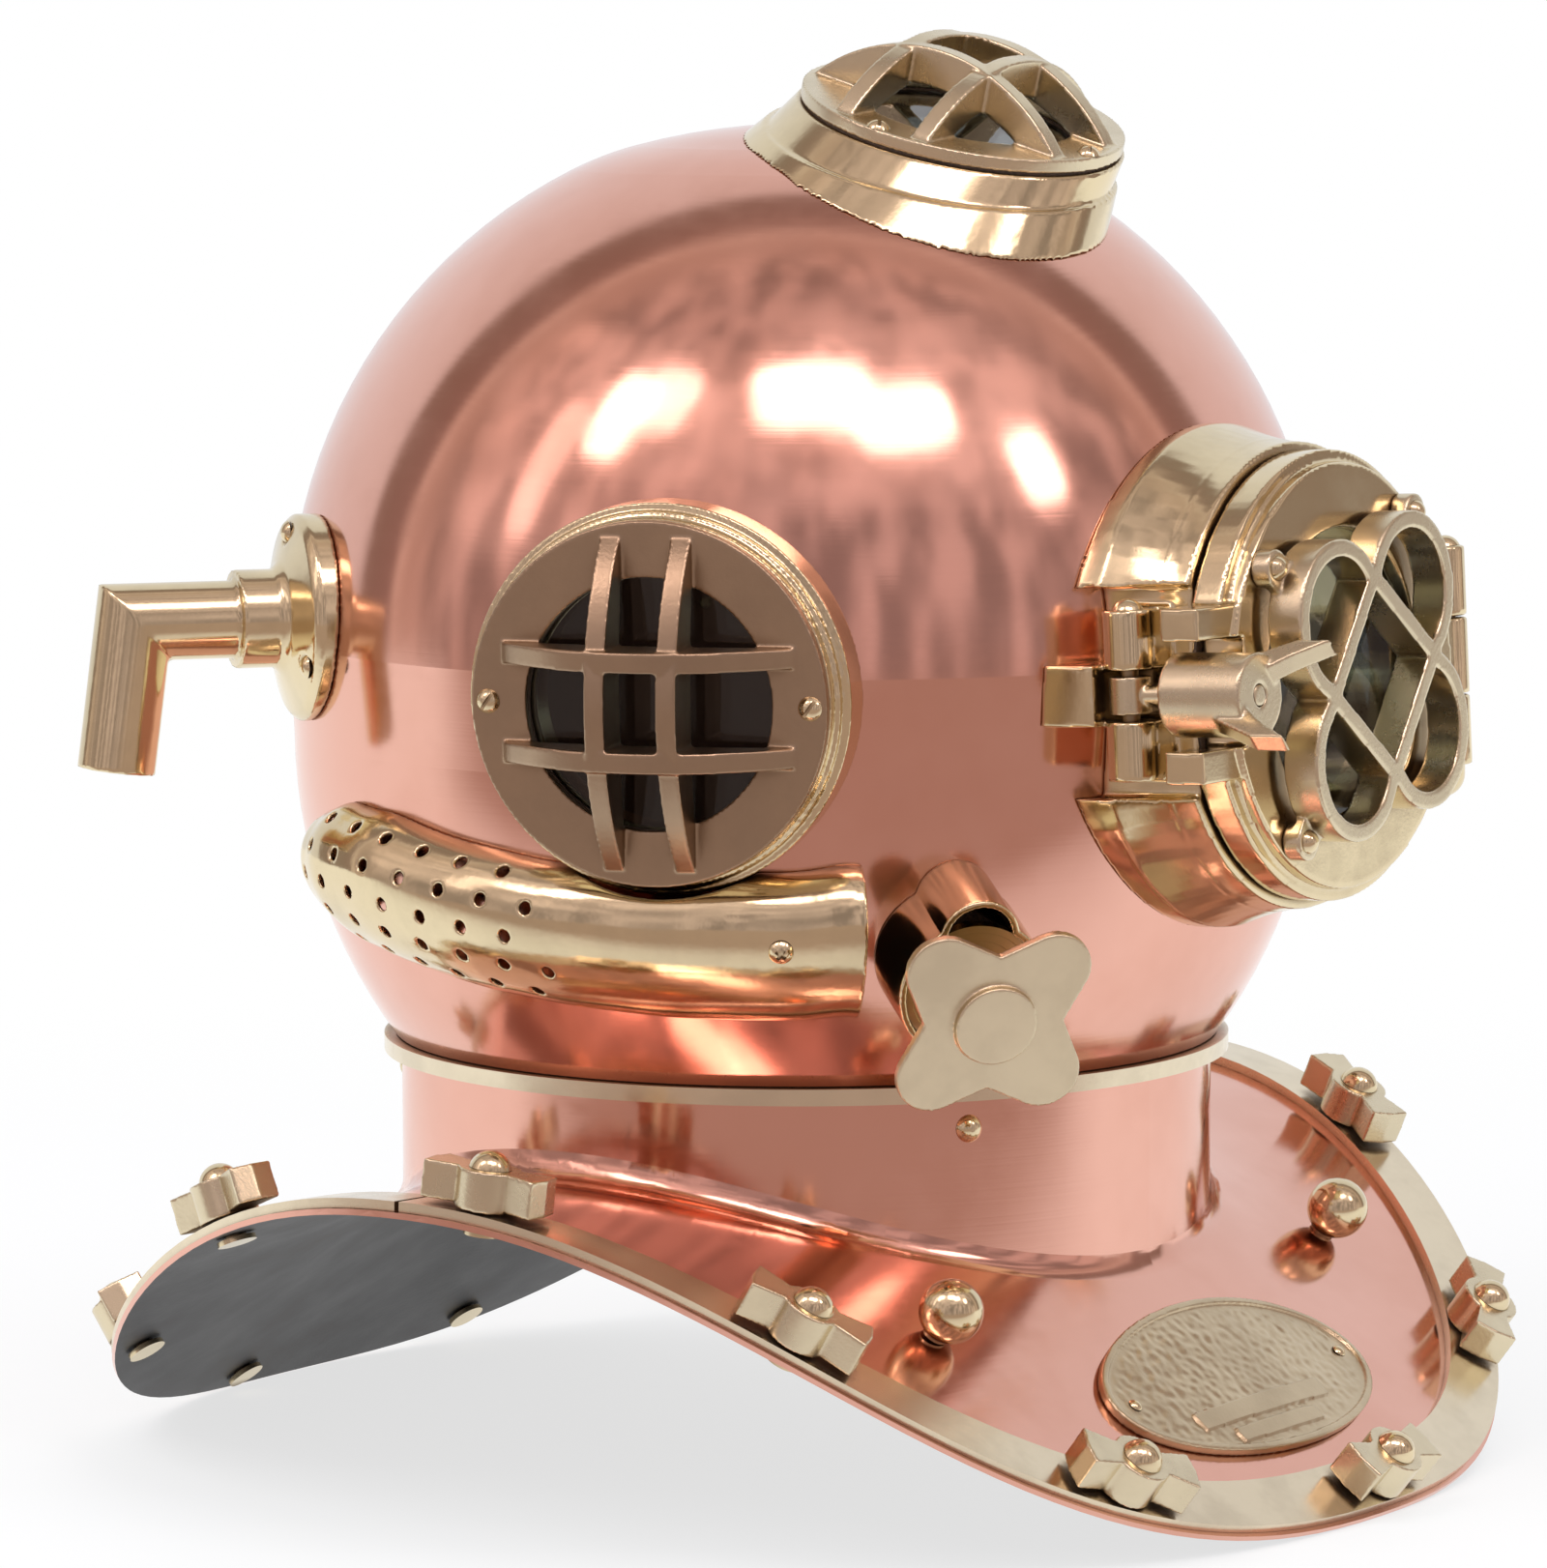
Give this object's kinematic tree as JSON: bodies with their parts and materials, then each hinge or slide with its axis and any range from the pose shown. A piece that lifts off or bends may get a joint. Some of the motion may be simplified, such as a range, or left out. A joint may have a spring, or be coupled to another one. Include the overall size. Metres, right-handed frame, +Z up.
{
  "type": "diving helmet",
  "caption": "Copper and brass diving helmet: a bonnet with barred ports, a hinged faceplate, an exhaust valve and elbows, on a copper breastplate with wing nuts.",
  "frame": {"origin": "On the neck axis, at the height of the surface that the breastplate's rim stands on", "axes": "+Z up along the neck; the faceplate looks along -Y; the diver's left is +X, and the exhaust valve is on the diver's right, at -X"},
  "size_m": [0.424, 0.4424, 0.4413],
  "materials": {
    "copper": "satin polished spun copper",
    "brass": "polished cast brass",
    "spring_wire": "drawn bronze wire",
    "glass": "clear thick plate glass",
    "leather": "oiled dark leather"
  },
  "bodies": {
    "breastplate": {"breastplate": "copper", "neck_ring": "brass", "neck_gasket": "leather", "breastplate_rivets": "brass", "front_rim_strap": "brass", "back_rim_strap": "brass", "rim_studs": "brass", "nameplate": "brass", "lanyard_balls": "brass"},
    "bonnet": {"bonnet": "copper", "bonnet_ring": "brass", "bonnet_ring_screws": "brass", "right_port_frame": "brass", "right_port_gasket": "leather", "right_port_glass": "glass", "right_port_guard": "brass", "left_port_frame": "brass", "left_port_gasket": "leather", "left_port_glass": "glass", "left_port_guard": "brass", "top_port_frame": "brass", "top_port_gasket": "leather", "top_port_glass": "glass", "top_port_guard": "brass", "port_guard_screws": "brass", "front_port_frame": "brass", "front_port_gasket": "leather", "faceplate_hinge_pin": "brass", "swing_bolt_pin": "brass", "exhaust_valve_body": "brass", "exhaust_valve_disc": "leather", "exhaust_valve_spring": "spring_wire", "exhaust_channel": "brass", "fitting_screws": "brass", "air_elbow": "brass", "telephone_elbow": "brass", "spitcock_body": "brass"},
    "faceplate": {"faceplate_ring": "brass", "faceplate_glass": "glass", "faceplate_guard": "brass", "faceplate_guard_screws": "brass"},
    "swing_bolt": {"swing_bolt": "brass"},
    "clamp_wing_nut": {"clamp_wing_nut": "brass"},
    "exhaust_handwheel": {"exhaust_handwheel": "brass"},
    "spitcock_lever": {"spitcock_lever": "brass"},
    "wing_nut_01": {"wing_nut_01": "brass"},
    "wing_nut_02": {"wing_nut_02": "brass"},
    "wing_nut_03": {"wing_nut_03": "brass"},
    "wing_nut_04": {"wing_nut_04": "brass"},
    "wing_nut_05": {"wing_nut_05": "brass"},
    "wing_nut_06": {"wing_nut_06": "brass"},
    "wing_nut_07": {"wing_nut_07": "brass"},
    "wing_nut_08": {"wing_nut_08": "brass"},
    "wing_nut_09": {"wing_nut_09": "brass"},
    "wing_nut_10": {"wing_nut_10": "brass"},
    "wing_nut_11": {"wing_nut_11": "brass"},
    "wing_nut_12": {"wing_nut_12": "brass"}
  },
  "joints": [
    {"name": "neck_turn", "type": "hinge", "parent": "breastplate", "child": "bonnet", "pos_m": [0, 0, 0.131], "axis": [0, 0, 1], "range_deg": [0, 45]},
    {"name": "wing_nut_01_spin", "type": "hinge", "parent": "breastplate", "child": "wing_nut_01", "pos_m": [0.00351, -0.20097, 0.00801], "axis": [0.0045, -0.6301, 0.7765], "range_deg": [0, 720]},
    {"name": "wing_nut_02_spin", "type": "hinge", "parent": "breastplate", "child": "wing_nut_02", "pos_m": [-0.1033, -0.17891, 0.02035], "axis": [-0.0219, -0.6168, 0.7868], "range_deg": [0, 720]},
    {"name": "wing_nut_03_spin", "type": "hinge", "parent": "breastplate", "child": "wing_nut_03", "pos_m": [-0.17364, -0.11276, 0.06751], "axis": [0.0559, -0.5169, 0.8542], "range_deg": [0, 720]},
    {"name": "wing_nut_04_spin", "type": "hinge", "parent": "breastplate", "child": "wing_nut_04", "pos_m": [-0.20055, -0.02463, 0.10017], "axis": [0.0371, -0.1141, 0.9928], "range_deg": [0, 720]},
    {"name": "wing_nut_05_spin", "type": "hinge", "parent": "breastplate", "child": "wing_nut_05", "pos_m": [-0.19007, 0.07679, 0.08632], "axis": [0.0529, 0.3871, 0.9205], "range_deg": [0, 720]},
    {"name": "wing_nut_06_spin", "type": "hinge", "parent": "breastplate", "child": "wing_nut_06", "pos_m": [-0.13642, 0.15693, 0.03661], "axis": [0.0209, 0.5996, 0.8], "range_deg": [0, 720]},
    {"name": "wing_nut_07_spin", "type": "hinge", "parent": "breastplate", "child": "wing_nut_07", "pos_m": [-0.0351, 0.19909, 0.00849], "axis": [-0.0426, 0.6274, 0.7775], "range_deg": [0, 720]},
    {"name": "wing_nut_08_spin", "type": "hinge", "parent": "breastplate", "child": "wing_nut_08", "pos_m": [0.07334, 0.19106, 0.01241], "axis": [0.0473, 0.6224, 0.7813], "range_deg": [0, 720]},
    {"name": "wing_nut_09_spin", "type": "hinge", "parent": "breastplate", "child": "wing_nut_09", "pos_m": [0.16576, 0.12491, 0.05967], "axis": [-0.052, 0.5473, 0.8353], "range_deg": [0, 720]},
    {"name": "wing_nut_10_spin", "type": "hinge", "parent": "breastplate", "child": "wing_nut_10", "pos_m": [0.20081, 0.02111, 0.10053], "axis": [-0.0364, 0.0952, 0.9948], "range_deg": [0, 720]},
    {"name": "wing_nut_11_spin", "type": "hinge", "parent": "breastplate", "child": "wing_nut_11", "pos_m": [0.18766, -0.08355, 0.08334], "axis": [-0.0546, -0.4161, 0.9077], "range_deg": [0, 720]},
    {"name": "wing_nut_12_spin", "type": "hinge", "parent": "breastplate", "child": "wing_nut_12", "pos_m": [0.12788, -0.16368, 0.03153], "axis": [-0.0096, -0.6063, 0.7952], "range_deg": [0, 720]},
    {"name": "faceplate_hinge", "type": "hinge", "parent": "bonnet", "child": "faceplate", "pos_m": [0.077, -0.18501, 0.25103], "axis": [0, 0.0523, 0.9986], "range_deg": [0, 110]},
    {"name": "swing_bolt_turn", "type": "hinge", "parent": "bonnet", "child": "swing_bolt", "pos_m": [-0.072, -0.16404, 0.24993], "axis": [0, -0.0523, -0.9986], "range_deg": [0, 95]},
    {"name": "clamp_nut_spin", "type": "hinge", "parent": "swing_bolt", "child": "clamp_wing_nut", "pos_m": [-0.072, -0.194, 0.2515], "axis": [0, -0.9986, 0.0523], "range_deg": [0, 720]},
    {"name": "exhaust_wheel_turn", "type": "hinge", "parent": "bonnet", "child": "exhaust_handwheel", "pos_m": [-0.12067, -0.14743, 0.1594], "axis": [-0.5989, -0.7317, -0.3256], "range_deg": [0, 540]},
    {"name": "spitcock_turn", "type": "hinge", "parent": "bonnet", "child": "spitcock_lever", "pos_m": [0.13791, -0.14789, 0.2155], "axis": [0, 0, 1], "range_deg": [0, 90]}
  ]
}
